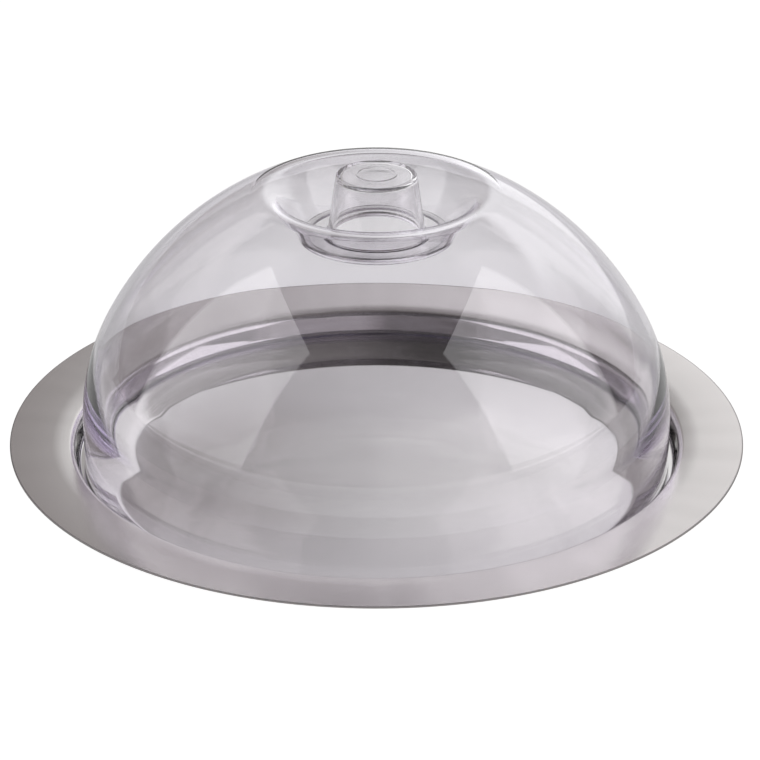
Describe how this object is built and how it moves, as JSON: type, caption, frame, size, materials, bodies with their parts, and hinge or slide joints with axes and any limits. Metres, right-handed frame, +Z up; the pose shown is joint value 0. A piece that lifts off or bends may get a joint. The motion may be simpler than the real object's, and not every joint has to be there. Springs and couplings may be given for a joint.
{
  "type": "food cover dome",
  "caption": "Round pressed serving tray with a stepped seat for a loose clear cover dome, which lifts off by a hollow knob sunk in its top.",
  "frame": {"origin": "centre of the tray's underside, on the surface that it stands on", "axes": "+Z up along the common axis of the tray, the dome and the knob"},
  "size_m": [0.3001, 0.3, 0.1289],
  "materials": {
    "steel": "satin flange, mirror-polished floor",
    "clear_plastic": "clear, polished, faint violet tint"
  },
  "bodies": {
    "tray": {"tray": "steel"},
    "cover": {"dome_shell": "clear_plastic", "knob": "clear_plastic"}
  },
  "joints": [
    {"name": "cover_lift", "type": "slide", "parent": "tray", "child": "cover", "axis": [0, 0, 1], "range_m": [0, 0.15]}
  ]
}
